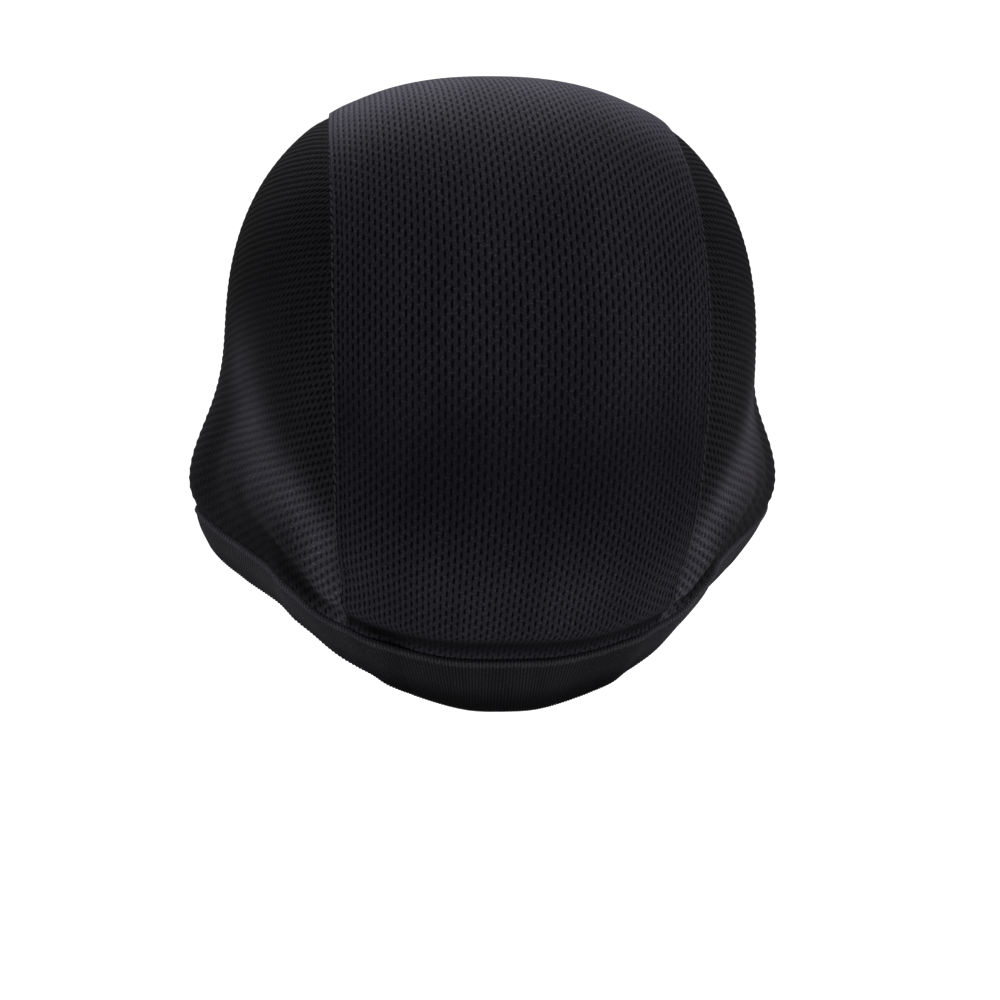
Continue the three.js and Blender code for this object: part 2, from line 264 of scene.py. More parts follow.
def band_way(around, off):
    """Direction on the band seam at an angle around the head, moved up from it by a distance."""
    def toward(tilt):
        level = np.cos(tilt)
        return np.stack((np.sin(around) * level, np.cos(around) * level, np.sin(tilt)), axis=-1)

    steepest = np.full(np.shape(around), 1.4)
    seam = seam_height(np.abs(around))
    tilt = crossing(lambda a: head_point(toward(a))[..., 2] - seam, -steepest, steepest)
    return toward(tilt + off / np.linalg.norm(head_point(toward(tilt)), axis=-1))


def above_band(way):
    point = head_point(way)
    return point[..., 2] - seam_height(around_angle(point))


def hem_station(around):
    """The band's first inner point at angles around the head, its way to the hem, its outward normal and
    the mitre that it shares with the panels above it. Angles are positive on the wearer's left."""
    size, mirror = np.abs(around), np.where(around < 0, -1.0, 1.0)
    way_in = band_way(size, 0)
    start = cloth_point(way_in)
    at = np.degrees(size)
    shares = [along_table(band_around, share, at) for share in (hem_inward, hem_forward, hem_down)]
    way = unit(-np.stack(shares, axis=-1))
    step = 0.01
    ahead = cloth_point(band_way(np.minimum(size + step, math.pi), 0))
    behind = cloth_point(band_way(np.maximum(size - step, 0), 0))
    normal = unit(np.cross(ahead - behind, way))
    normal[(size < step) | (size > math.pi - step), 0] = 0
    normal = unit(normal)
    normal = np.where((normal * way_in).sum(axis=-1, keepdims=True) < 0, -normal, normal)
    mitre = unit(outward(cloth_point, way_in) + normal)
    for vectors in (start, way, normal, mitre):
        vectors[..., 0] *= mirror
    return start, way, normal, mitre


def smooth_mesh(name, points, faces, spots, painted_light_and_stretch, openness):
    """A piece from arrays of points and triangles, with its knit coordinates: wales across, courses along.
    Each point has a factor on its colour: over 1 where it is painted paler, mostly painted light and over
    the ears partly stretched yarn, and below 1 for painted shade, as in a deep crease. Its openness falls
    from 1 to 0 where the dimples of the knit are drawn shut."""
    mesh = bpy.data.meshes.new(name)
    faces = np.ascontiguousarray(faces, np.int32)
    mesh.vertices.add(len(points))
    mesh.vertices.foreach_set("co", np.ascontiguousarray(points, np.float32).ravel())
    mesh.loops.add(faces.size)
    mesh.loops.foreach_set("vertex_index", faces.ravel())
    mesh.polygons.add(len(faces))
    mesh.polygons.foreach_set("loop_start", np.arange(0, faces.size, 3, dtype=np.int32))
    mesh.update(calc_edges=True)
    mesh.shade_smooth()
    uv = mesh.uv_layers.new(name="knit")
    uv.data.foreach_set("uv", np.ascontiguousarray(spots[faces.ravel()], np.float32).ravel())
    # The colour factor of painted light and shade, partly stretched yarn, and the openness of the dimples
    for label, values in (("painted_light_and_stretch", painted_light_and_stretch), ("openness", openness)):
        attribute = mesh.attributes.new(label, "FLOAT", "POINT")
        attribute.data.foreach_set("value", np.ascontiguousarray(values, np.float32))
    piece = bpy.data.objects.new(name, mesh)
    bpy.context.scene.collection.objects.link(piece)
    return piece


def filled(ring, inside):
    """Triangles that fill a closed outline, through the points inside it, numbered ring first."""
    count = len(ring)
    spots = np.concatenate((ring, inside))
    rim = [(i, (i + 1) % count) for i in range(count)]
    inside_only, closest = 1, 1e-6
    found, _, faces, *_ = delaunay_2d_cdt(
        [tuple(p) for p in spots.tolist()], rim, [], inside_only, closest, False
    )
    if len(found) != len(spots):
        raise ValueError("an outline crosses itself, or a point lies on it")
    faces = np.array(faces)

    # A triangle that spans a hollow of the outline has all its corners on it and its middle outside it
    spanning = (faces < count).all(axis=1)
    x, y = spots[faces[spanning]].mean(axis=1)[:, None, :].transpose(2, 0, 1)
    (x0, y0), (x1, y1) = ring.T, np.roll(ring, -1, axis=0).T
    passed = (y0 > y) != (y1 > y)
    hits = passed & (x < x0 + (y - y0) * (x1 - x0) / np.where(y1 == y0, 1, y1 - y0))
    spanning[spanning] = hits.sum(axis=1) % 2 == 0
    return faces[~spanning]


def knit_wall(name, ring, on_band, fine, coarse, way_of, relief_of, painted_light_of, openness_of):
    """A panel: a displaced outer skin, a plain inner one and the cut edge between them."""
    count = len(ring)
    outer_faces, inner_faces = filled(ring, fine), filled(ring, coarse)
    spots = np.concatenate((ring, fine, ring, coarse))
    ways = way_of(spots)
    cloth = cloth_point(ways)
    normal = outward(cloth_point, ways)
    outside = np.arange(len(spots)) < count + len(fine)
    seam_ways = ways[:count][on_band]
    normal[:count][on_band] = hem_station(np.arctan2(seam_ways[:, 0], seam_ways[:, 1]))[3]
    thick = np.where(outside, panel_wall + relief_of(spots, ways), 0)
    points = cloth + normal * thick[:, None] + head_middle
    first = count + len(fine)
    here = np.arange(count)
    after = np.roll(here, -1)
    rim = np.concatenate((
        np.stack((here, after + first, after), axis=-1),
        np.stack((here, here + first, after + first), axis=-1),
    ))
    a, b, c = (points[outer_faces[:, k]] for k in range(3))
    if (np.cross(b - a, c - a) * normal[outer_faces[:, 0]]).sum(axis=-1).mean() < 0:
        outer_faces, rim = outer_faces[:, ::-1], rim[:, ::-1]
    else:
        inner_faces = inner_faces[:, ::-1]
    faces = np.concatenate((outer_faces, inner_faces + first, rim))
    return smooth_mesh(name, points, faces, spots, painted_light_of(spots, ways), openness_of(ways))


def eyelets(spots, wide, long):
    """0 on the smooth wales and 1 in the staggered blind dimples between them."""
    round_side, blunt_end = 2.2, 4
    dimple = np.zeros(len(spots))
    for half in (0, 1):
        u = (spots[:, 0] - half + 1) % 2 - 1
        v = (spots[:, 1] - 0.5 * half + 0.5) % 1 - 0.5
        here = np.exp(-np.abs(u / wide) ** round_side - np.abs(v / long) ** blunt_end)
        dimple = np.maximum(dimple, here)
    return dimple


def away_from_seams(ways):
    """Distance from the long seams and from the band seam, in metres."""
    point = head_point(ways)
    return np.abs(np.abs(point[:, 0]) - half_panel(over_angle(point))), above_band(ways)


def eased(distance, reach):
    """0 at a seam, rising to 1 where the knit is free of it."""
    t = np.clip(distance / reach, 0, 1)
    return t * t * (3 - 2 * t)


def lattice(low, high, cells):
    """Points of a knit lattice between two corners, with so many cells per wale and per course."""
    wales, courses = (
        np.arange(math.floor(a * share), math.ceil(b * share) + 1) / share
        for a, b, share in zip(low, high, cells)
    )
    grid = np.meshgrid(wales, courses)
    return np.stack((grid[0].ravel(), grid[1].ravel()), axis=-1)


# The knit: its wales across the panel, the length of a course, and a dimple's half width and half length in
# wales and courses. Towards the nape the courses lie closer. The mesh has so many points to a wale and a
# course outside and inside, and keeps them clear of the panel's edge.
centre_wales = 64
centre_course = 0.0042
centre_dimple = (0.2, 0.32)
dimple_depth = 0.0003
nape_closer, nape_closer_at, nape_closer_spread = 0.16, -62, 22
outer_cells, outer_margin = (4, 4), 0.11
inner_cells, inner_margin = (0.5, 0.7), 0.6

# Reach over which the dimples fade beside a seam, and the panel's edge that stands proud on the crown
long_seam_fade = 0.0024
band_seam_fade = 0.001
proud_edge = 0.0012
proud_edge_reach = 0.0045
proud_edge_over, proud_edge_spread = 80, 34

# The row of needle holes beside each long seam
needle_pitch = 0.0029
needle_pit = 0.0003
needle_off, needle_wide = 0.0015, 0.0006

# The roll over the nape, in heights above the band seam: a lip, the crease under it, and the rolled seam
# allowance. At its left end the crease is a deeper pocket.
lip_up, lip_rise, lip_below, lip_above = 0.0122, 0.0009, 0.002, 0.0055
crease_up, crease_sink, crease_spread = 0.005, 0.0011, 0.0029
allowance_up, allowance_rise, allowance_spread = 0.0015, 0.0006, 0.0008
pocket_around, pocket_half = 45.5, 6
pocket_up, pocket_spread = 0.002, 0.0022
roll_clear = 0.004

# How much paler or darker the cloth is painted than the flat cloth: painted shadow in the crease and in its
# pocket, a painted highlight on the rolled allowance, paler beside each long seam, painted shade in the
# needle holes, a painted highlight across the crown that fades out towards the brow, painted shade on the
# middle of the back, and painted light low on the nape
crease_painted_shadow, allowance_painted_highlight, pocket_painted_shadow = 0.8, 0.6, 0.95
edge_pale, edge_pale_reach = 0.35, 0.0007
hole_painted_shade = 0.55
crown_painted_highlight, crown_from, crown_reach = 2.6, 41, 40
crown_highlight_fade, front_from, front_reach = 0.85, 88, 28
back_painted_shade, back_over, back_spread = 0.3, -22, 16
nape_painted_light, nape_pale_up, nape_pale_spread = 0.45, 0.018, 0.013
darkest = 0.08

# How far the dimples are drawn shut on the crown, on the middle of the back and in the crease
crown_shut, crown_shut_from = 0.35, 45
back_shut, back_shut_over, back_shut_spread = 0.35, -20, 14
crease_shut = 0.8

lowest_over, highest_over, over_steps = -86, 206, 1500
over_line = np.linspace(math.radians(lowest_over), math.radians(highest_over), over_steps)
centre_line = cloth_point(direct(over_line, np.zeros(over_steps)))
line_steps = np.linalg.norm(np.diff(centre_line, axis=0), axis=1)
closer = 1 + nape_closer * hump(np.degrees(over_line[1:]), nape_closer_at, nape_closer_spread)
course_line = np.concatenate(([0], np.cumsum(line_steps * closer))) / centre_course


def centre_way(spots):
    over = np.interp(spots[:, 1], course_line, over_line)
    return direct(over, seam_lean(over, -seam_gap / 2) * (spots[:, 0] / centre_wales * 2 - 1))


def nape_lines(ways, from_band):
    """Shares of the lip, the crease below it and the rolled seam allowance, just above the band seam. All
    three fade out towards the ears."""
    nape = eased(np.cos(around_angle(ways)) - 0.1, 0.5)
    lip = hump(from_band, lip_up, np.where(from_band < lip_up, lip_below, lip_above))
    crease = hump(from_band, crease_up, crease_spread)
    allowance = hump(from_band, allowance_up, allowance_spread)
    return nape * lip, nape * crease, nape * allowance


def lip_pocket(ways, from_band):
    """The deeper pocket under the lip, at its left end."""
    around = np.degrees(np.arctan2(ways[:, 0], ways[:, 1]))
    return hump(around, pocket_around, pocket_half) * hump(from_band, pocket_up, pocket_spread)


def nape_roll(ways, from_seam, from_band):
    lip, crease, allowance = nape_lines(ways, from_band)
    pocket = lip_pocket(ways, from_band)
    dip = crease_sink * np.maximum(crease, pocket) * eased(from_seam, roll_clear)
    return lip_rise * lip - dip + allowance_rise * allowance * (1 - pocket)


# Painted shadow in the crease under the lip and in its pocket, and a painted highlight on the rolled seam
# allowance
def nape_painted_light_and_shade(ways, from_band):
    _, crease, allowance = nape_lines(ways, from_band)
    pocket = lip_pocket(ways, from_band)
    return 1 - crease_painted_shadow * crease + allowance_painted_highlight * allowance - pocket_painted_shadow * pocket


def needle_holes(spots, from_seam):
    """The row of needle holes that follows each long seam on the centre panel."""
    along = np.maximum(np.cos(2 * math.pi * spots[:, 1] * centre_course / needle_pitch), 0) ** 2
    return along * hump(from_seam, needle_off, needle_wide)


def centre_openness(ways):
    """The dimples close up in the crease over the nape, and a little on the crown and mid back."""
    _, from_band = away_from_seams(ways)
    _, crease, _ = nape_lines(ways, from_band)
    over = np.degrees(over_angle(ways))
    crown = crown_shut * eased(over - crown_shut_from, crown_reach)
    back = back_shut * hump(over, back_shut_over, back_shut_spread)
    return (1 - (crown + back)) * (1 - crease_shut * crease)


def centre_relief(spots, ways):
    from_seam, from_band = away_from_seams(ways)
    crown = hump(np.degrees(over_angle(ways)), proud_edge_over, proud_edge_spread)
    edge = proud_edge * crown * hump(from_seam, 0, proud_edge_reach)
    free = eased(from_seam, long_seam_fade) * eased(from_band, band_seam_fade) * centre_openness(ways)
    dimples = dimple_depth * eyelets(spots, *centre_dimple) * free
    pits = dimples + needle_pit * needle_holes(spots, from_seam)
    return edge + nape_roll(ways, from_seam, from_band) - pits


# The centre panel's painted light and shade: the crown's painted highlight, painted shade on the back and
# in the needle holes, painted light low on the nape, and paler seam edges
def centre_painted_light(spots, ways):
    from_seam, from_band = away_from_seams(ways)
    over = np.degrees(over_angle(ways))
    front = crown_highlight_fade * eased(over - front_from, front_reach)
    crown = crown_painted_highlight * eased(over - crown_from, crown_reach) * (1 - front)
    back = back_painted_shade * hump(over, back_over, back_spread)
    edge = edge_pale * hump(from_seam, 0, edge_pale_reach)
    behind = eased(np.cos(around_angle(ways)), 0.5)
    nape = nape_painted_light * hump(from_band, nape_pale_up, nape_pale_spread) * behind
    holes = hole_painted_shade * needle_holes(spots, from_seam)
    pale = nape_painted_light_and_shade(ways, from_band) + edge + crown - back + nape - holes
    return np.maximum(pale, darkest)


def centre_end(wales, low, high):
    """The course at which each wale meets the band, between two angles over the head."""
    across = wales / centre_wales * 2 - 1
    ends = [np.full(len(wales), math.radians(angle)) for angle in (low, high)]
    over = crossing(
        lambda a: above_band(direct(a, seam_lean(a, -seam_gap / 2) * across)) - seam_gap / 2, *ends
    )
    return np.interp(over, over_line, course_line)


def side_ring(start, end):
    """The panel's edge on a long seam, between two corners."""
    count = round(abs(end[1] - start[1]) * outer_cells[1])
    return start + (end - start) * (np.arange(1, count) / count)[:, None]


wale_ring = np.linspace(0, centre_wales, centre_wales * outer_cells[0] + 1)
nape_ring = np.stack((wale_ring, centre_end(wale_ring, lowest_over, 0)), axis=-1)
brow_ring = np.stack((wale_ring, centre_end(wale_ring, 90, highest_over)), axis=-1)[::-1]
left_ring = side_ring(nape_ring[-1], brow_ring[0])
right_ring = side_ring(brow_ring[-1], nape_ring[0])
ring = np.concatenate((nape_ring, left_ring, brow_ring, right_ring))
brow_first = len(nape_ring) + len(left_ring)
on_band = np.zeros(len(ring), bool)
on_band[:len(nape_ring)] = True
on_band[brow_first:brow_first + len(brow_ring)] = True


def inside_centre(spots, margin):
    """The spots that lie inside the panel's edge by a margin, in wales and courses."""
    foot = np.interp(spots[:, 0], wale_ring, nape_ring[:, 1])
    top = np.interp(spots[:, 0], wale_ring, brow_ring[::-1, 1])
    within = (spots[:, 0] > margin) & (spots[:, 0] < centre_wales - margin)
    return spots[within & (spots[:, 1] > foot + margin) & (spots[:, 1] < top - margin)]


corners = ring.min(axis=0), ring.max(axis=0)
centre = knit_wall(
    "centre_panel_knit", ring, on_band, inside_centre(lattice(*corners, outer_cells), outer_margin),
    inside_centre(lattice(*corners, inner_cells), inner_margin), centre_way, centre_relief,
    centre_painted_light, centre_openness,
)
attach(centre, "root")
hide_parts("centre_panel")

# Side panels
# Two half moons of the same knit over the ears, cut with their wales square to the hem, so that they lean
# back. The cloth is less stretched here, so its dimples are smaller and rounder. A fold runs over each ear.
side_wale = 0.00155
side_course = 0.0034
side_lean = math.radians(39)
side_radius = 0.085
side_dimple = (0.22, 0.28)
side_dimple_depth = 0.00022
taut_rib, open_rib_share = 0.0001, 0.2
side_seam_fade, side_band_fade = 0.002, 0.0015
side_outer_cells, side_outer_margin = (5, 4), 0.0002
side_inner_cells, side_inner_margin = (0.4, 0.8), 0.002
top_points, foot_points = 420, 300

# How far the dimples are drawn shut, and how far in from the seam this starts. It eases off high up.
side_shut, shut_from, shut_reach = 0.85, 0.006, 0.014
high_shut, high_shut_from, high_shut_reach = 0.5, 0.01, 0.03

# How much paler or darker the cloth is painted: along the ear's pull, where the yarn is stretched and a
# painted highlight lies on the fold; beside the seam; painted shade where it is tucked under the ear; paler
# towards the forehead; and painted shade high up, where it is darker
pull_stretch_and_highlight, side_edge_pale, tuck_painted_shade = 3.9, 0.25, 0.6
brow_pale, brow_from, brow_reach = 0.7, 85, 35
high_painted_shade, high_inner_painted_shade, high_from, high_reach = 0.3, 0.3, -0.008, 0.03
inner_from, inner_reach = 0.01, 0.012

# The line along which the ear pulls the cloth tight, in the columns of the folds. Its third column is the
# share of the pull, and along it the cloth is paler: partly stretched yarn, partly a painted highlight.
pull_line = (
    (74, 0.48, 0.55, 0.15), (71, 0.29, 0.85, 0.15), (63, 0.07, 1.0, 0.12), (54, -0.1, 1.0, 0.1),
    (50, -0.27, 1.0, 0.1), (53, -0.5, 0.8, 0.09), (60, -0.72, 0.7, 0.1),
)


def side_spots(ways):
    """Knit coordinates of a direction on the left side: the cloth laid flat around the side's middle."""
    tilt = np.arccos(np.clip(ways[:, 0], -1, 1)) * side_radius
    turn = np.arctan2(ways[:, 2], ways[:, 1])
    y, z = tilt * np.cos(turn), tilt * np.sin(turn)
    wales = -y * math.cos(side_lean) + z * math.sin(side_lean)
    courses = y * math.sin(side_lean) + z * math.cos(side_lean)
    return np.stack((wales / side_wale, courses / side_course), axis=-1)


def side_way(spots):
    wales, courses = spots[:, 0] * side_wale, spots[:, 1] * side_course
    y = -wales * math.cos(side_lean) + courses * math.sin(side_lean)
    z = wales * math.sin(side_lean) + courses * math.cos(side_lean)
    tilt, turn = np.hypot(y, z) / side_radius, np.arctan2(z, y)
    return np.stack((np.cos(tilt), np.sin(tilt) * np.cos(turn), np.sin(tilt) * np.sin(turn)), axis=-1)


def side_openness(ways):
    """The dimples are drawn shut away from the long seam, where the ear pulls the cloth tight."""
    from_seam, _ = away_from_seams(ways)
    high = high_shut * eased(head_point(ways)[:, 2] - high_shut_from, high_shut_reach)
    return 1 - side_shut * eased(from_seam - shut_from, shut_reach) * (1 - high)


def pull(ways):
    """The ear's pull on the cloth, from 0 to about 1 along its line."""
    point = head_point(ways)
    return fold_lift(pull_line, around_angle(point) * head_width / 2, point[:, 2]) / ear_stand


def side_relief(spots, ways):
    from_seam, from_band = away_from_seams(ways)
    free = eased(from_seam, side_seam_fade) * eased(from_band, side_band_fade)
    openness = side_openness(ways)
    ribs = np.cos(2 * math.pi * (spots[:, 1] + spots[:, 0] / 2)) * (1 + open_rib_share - openness)
    dimples = side_dimple_depth * eyelets(spots, *side_dimple) * openness
    return nape_roll(ways, from_seam, from_band) - free * (dimples + taut_rib * ribs)


# The side panels' painted light and shade: a painted highlight along the ear's pull that also stands for
# stretched yarn, painted shade under the ear's tuck and high up, and paler towards the forehead
def side_painted_light(spots, ways):
    from_seam, from_band = away_from_seams(ways)
    around, height = around_angle(ways), head_point(ways)[:, 2]
    edge = side_edge_pale * hump(from_seam, 0, edge_pale_reach)
    deepest = 0.1 * ear_stand
    under = tuck_painted_shade * fold_lift(ear_tuck, around * head_width / 2, height) / deepest
    brow = eased(np.degrees(around) - brow_from, brow_reach)
    inner = high_inner_painted_shade * eased(from_seam - inner_from, inner_reach)
    high = (high_painted_shade + inner) * eased(height - high_from, high_reach) * (1 - brow)
    pale = nape_painted_light_and_shade(ways, from_band) + edge + brow_pale * brow + pull_stretch_and_highlight * pull(ways) + under
    return np.maximum(pale - high, darkest)


def side_corner(low, high):
    """Angles over and around the head at which the long seam meets the band."""
    over = crossing(
        lambda a: above_band(direct(a, seam_lean(a, seam_gap / 2))) - seam_gap / 2,
        np.array([math.radians(low)]), np.array([math.radians(high)]),
    )
    way = direct(over, seam_lean(over, seam_gap / 2))
    return over[0], math.atan2(way[0, 0], way[0, 1])


nape_over, nape_around = side_corner(lowest_over, 0)
brow_over, brow_around = side_corner(90, highest_over)
top_over = np.linspace(nape_over, brow_over, top_points)
top_ways = direct(top_over, seam_lean(top_over, seam_gap / 2))
foot_ways = band_way(np.linspace(brow_around, nape_around, foot_points)[1:-1], seam_gap / 2)
ring_ways = np.concatenate((top_ways, foot_ways))
ring = side_spots(ring_ways)
on_band = np.arange(len(ring)) >= len(top_ways)
on_band[[0, len(top_ways) - 1]] = True


def inside_side(spots, margin):
    """The spots on the wearer's left that lie inside the panel's edge by a margin in metres."""
    ways = side_way(spots)
    point = head_point(ways)
    from_seam = point[:, 0] - half_panel(over_angle(point))
    clear = margin + seam_gap / 2
    return spots[(from_seam > clear) & (above_band(ways) > clear) & (ways[:, 0] > 0)]


corners = ring.min(axis=0), ring.max(axis=0)
left = knit_wall(
    "left_panel_knit", ring, on_band, inside_side(lattice(*corners, side_outer_cells), side_outer_margin),
    inside_side(lattice(*corners, side_inner_cells), side_inner_margin), side_way, side_relief,
    side_painted_light, side_openness,
)
right_mesh = left.data.copy()
places = np.empty(len(right_mesh.vertices) * 3, np.float32)
right_mesh.vertices.foreach_get("co", places)
places[0::3] *= -1
right_mesh.vertices.foreach_set("co", places)
right_mesh.flip_normals()
right = bpy.data.objects.new("right_panel_knit", right_mesh)
bpy.context.scene.collection.objects.link(right)
for piece, node in ((left, "left_panel"), (right, "right_panel")):
    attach(piece, "root")
    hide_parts(node)

# Band
# One strip of closer knit folded double along its length, sewn by its two raw edges to the foot of the
# panels. Its ribs run from the seam to the folded hem, and the seam allowance makes a ridge below the seam.
band_wall = 0.0018
band_width = 0.019
band_bow = 0.0009
rib_width = 0.001
rib_height = 0.00016
rib_start = 0.002
rib_cells = 4
seam_ridge = 0.00045
seam_ridge_drop = 0.0016
seam_ridge_spread = 0.0007
seam_tuck = 0.0007
flap_clear = 0.0003
flap_rows = (0.0012, 0.0028, 0.0044)
rows_outside, rows_hem, rows_inside = 20, 6, 5
rows_crowding = 1.15
hem_step = 0.5
course_depth = 4
turn_points = 721

# Painted light and shade by the depth in millimetres below the seam: a painted highlight on the ridge,
# painted shade towards the hem, and painted light beside the ears
band_pale = 1.2
ridge_painted_highlight, ridge_pale_at, ridge_pale_spread = 1.5, 1.3, 0.7
hem_painted_shade, hem_dark_from, hem_dark_reach = 0.8, 8, 9
by_ear_painted_light, by_ear_from, by_ear_reach = 0.9, 45, 30
band_openness = 0.3

turn_fine = np.linspace(-math.pi, math.pi, turn_points)
start_line = hem_station(turn_fine)[0]
around_line = np.concatenate(([0], np.cumsum(np.linalg.norm(np.diff(start_line, axis=0), axis=1))))
ribs = round(around_line[-1] / rib_width)
rib_at = np.arange(ribs * rib_cells) / rib_cells
turns = np.interp(rib_at * around_line[-1] / ribs, around_line, turn_fine)
start, way, normal, mitre = hem_station(turns)


def band_place(down, out):
    """A point of the band's section: down its width from 0 to 1, and out through its thickness."""
    bow = band_bow * math.sin(math.pi * down) * (1 - down / 2)
    first = mitre if down == 0 else normal
    run = seam_gap / 2 + down * (band_width - band_wall / 2 - seam_gap / 2)
    return start + way * run + normal * bow + first * (out * band_wall)


def seam_allowance(up):
    """The band's inner edge, turned up inside the panels behind the seam."""
    ways = band_way(np.abs(turns), up)
    flap = cloth_point(ways) - outward(cloth_point, ways) * flap_clear
    flap[:, 0] *= np.where(turns < 0, -1.0, 1.0)
    return flap


# The band's sections from the seam down its outside, round the hem and up its inside, and how far each lies
# along the cloth, in millimetres
sections, depths = [band_place(0, 1) - mitre * seam_tuck], [-0.4]
wave = rib_height * (np.cos(rib_at * 2 * math.pi) - 1)
for down in np.linspace(0, 1, rows_outside) ** rows_crowding:
    run = down * band_width
    ridge = seam_ridge * hump(run, seam_ridge_drop, seam_ridge_spread)
    lift = ridge + wave * (1 - hump(run, 0, rib_start))
    sections.append(band_place(down, 1) + normal * np.reshape(lift, (-1, 1)))
    depths.append(run * 1000)
for k in range(1, rows_hem):
    out, below = math.cos(math.pi * k / rows_hem), math.sin(math.pi * k / rows_hem)
    lift = np.reshape(wave, (-1, 1)) * (normal * out + way * below)
    sections.append(band_place(1, (1 + out) / 2) + way * (below * band_wall / 2) + lift)
    depths.append(band_width * 1000 + hem_step * k)
around_hem = hem_step * rows_hem
for down in np.linspace(1, 0, rows_inside):
    sections.append(band_place(down, 0))
    depths.append(band_width * 1000 * (2 - down) + around_hem)
for up in flap_rows:
    sections.append(seam_allowance(up))
    depths.append(band_width * 2000 + around_hem + up * 1000)

rows, columns = len(sections), len(turns)
points = np.concatenate(sections) + head_middle
i, j = np.meshgrid(np.arange(rows - 1), np.arange(columns), indexing="ij")
a, b = (i * columns + j).ravel(), (i * columns + (j + 1) % columns).ravel()
faces = np.concatenate((
    np.stack((a, b + columns, b), axis=-1), np.stack((a, a + columns, b + columns), axis=-1),
))
spots = np.stack((np.tile(rib_at, rows), np.repeat(depths, columns) / course_depth), axis=-1)
# The band's painted light and shade across its width
from_edge = np.array(depths)[:, None]
stripe = band_pale + ridge_painted_highlight * hump(from_edge, ridge_pale_at, ridge_pale_spread)
stripe = stripe - hem_painted_shade * eased(from_edge - hem_dark_from, hem_dark_reach)
stripe = stripe + by_ear_painted_light * eased(np.degrees(np.abs(turns)) - by_ear_from, by_ear_reach)
openness = np.full(len(points), band_openness)
band = smooth_mesh("band_knit", points, faces, spots, stripe.ravel(), openness)
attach(band, "root")
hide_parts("band")

# Stitches
# A row of loops of thicker thread closes each long seam and the band seam. Every loop lies a little slanted
# along the seam, half sunk in the cloth, and no two are quite alike.
stitch_slant = math.radians(14)
slant_spread, size_spread, lift_spread = 0.12, 0.08, 0.15
stitch_lift = 0.0002
stitch_ends, stitch_sides = 7, 8
stitch_blunt = 0.7
ridge_seat = 0.7
long_row_points, band_row_points = 500, 900
long_seam_stitch = {"pitch": needle_pitch, "long": 0.0024, "wide": 0.00055, "high": 0.0006}
band_seam_stitch = {"pitch": 0.0019, "long": 0.0014, "wide": 0.0007, "high": 0.0005}


def stitch_row(name, seats, normals, stitch, closed):
    """Loops of thread set along a seam at even steps."""
    if closed:
        seats, normals = (np.concatenate((line, line[:1])) for line in (seats, normals))
    run = np.concatenate(([0], np.cumsum(np.linalg.norm(np.diff(seats, axis=0), axis=1))))

    def on(line, places):
        return np.stack([np.interp(places, run, line[:, k]) for k in range(3)], axis=-1)

    count = int(run[-1] / stitch["pitch"])
    at = (np.arange(count) + 0.5) * run[-1] / count
    step = 0.0005
    seat, up = on(seats, at), unit(on(normals, at))
    ahead = on(seats, at + step) - on(seats, at - step)
    ahead = unit(ahead - up * (ahead * up).sum(axis=-1, keepdims=True))
    aside = np.cross(up, ahead)
    chance = np.random.default_rng(7).normal(0, 1, (count, 3))
    slant = stitch_slant + slant_spread * chance[:, :1]
    cos, sin = np.cos(slant), np.sin(slant)
    ahead, aside = ahead * cos + aside * sin, aside * cos - ahead * sin
    ends, sides = stitch_ends, stitch_sides
    t = np.linspace(0, math.pi, ends)
    turn = np.arange(sides) / sides * 2 * math.pi
    girth = np.sin(t)[:, None] ** stitch_blunt
    points, faces = [], []
    for i in range(count):
        size = 1 + size_spread * chance[i, 1]
        body = (
            seat[i] - np.cos(t)[:, None, None] * ahead[i] * (stitch["long"] / 2 * size)
            + (girth * np.cos(turn))[..., None] * aside[i] * (stitch["wide"] / 2)
            + (girth * np.sin(turn))[..., None] * up[i] * (stitch["high"] / 2)
            + up[i] * stitch["high"] * lift_spread * chance[i, 2]
        )
        first = i * ends * sides
        points.append(body.reshape(-1, 3))
        k, m = np.meshgrid(np.arange(ends - 1), np.arange(sides), indexing="ij")
        a, b = (first + k * sides + m).ravel(), (first + k * sides + (m + 1) % sides).ravel()
        faces += [np.stack((a, b, b + sides), axis=-1), np.stack((a, b + sides, a + sides), axis=-1)]
    points = np.concatenate(points) + head_middle
    across = np.tile(np.repeat(np.arange(ends), sides) / ends, count)
    along = np.tile(np.arange(sides) / sides, count * ends)
    spots = np.stack((across, along), axis=-1)
    plain = np.ones(len(points))
    return smooth_mesh(name, points, np.concatenate(faces), spots, plain, plain)


seam_over_line = np.linspace(nape_over, brow_over, long_row_points)
seam_ways = direct(seam_over_line, seam_lean(seam_over_line, 0))
seam_normal = outward(cloth_point, seam_ways)
seam_seat = cloth_point(seam_ways) + seam_normal * (panel_wall + stitch_lift)
mirrored = (-1, 1, 1)
left_row = stitch_row("left_seam_stitches", seam_seat, seam_normal, long_seam_stitch, False)
right_row = stitch_row(
    "right_seam_stitches", seam_seat * mirrored, seam_normal * mirrored, long_seam_stitch, False
)
band_turns = np.linspace(-math.pi, math.pi, band_row_points, endpoint=False)
start, way, normal, mitre = hem_station(band_turns)
band_seat = start + mitre * band_wall + way * seam_ridge_drop + normal * (seam_ridge * ridge_seat)
band_row = stitch_row("band_seam_stitches", band_seat, normal, band_seam_stitch, True)
for row, finish in ((left_row, "side_mesh"), (right_row, "side_mesh"), (band_row, "band_knit")):
    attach(row, "root")

# Seam allowances
# Behind each long seam the cut edges of the two panels are pressed flat and overlocked together. They make
# a thin ribbon inside the cap, which shuts the seam from behind.
allowance_half = 0.0026
allowance_clear = 0.0001
allowance_thick = 0.0004
lines_per_course = 8


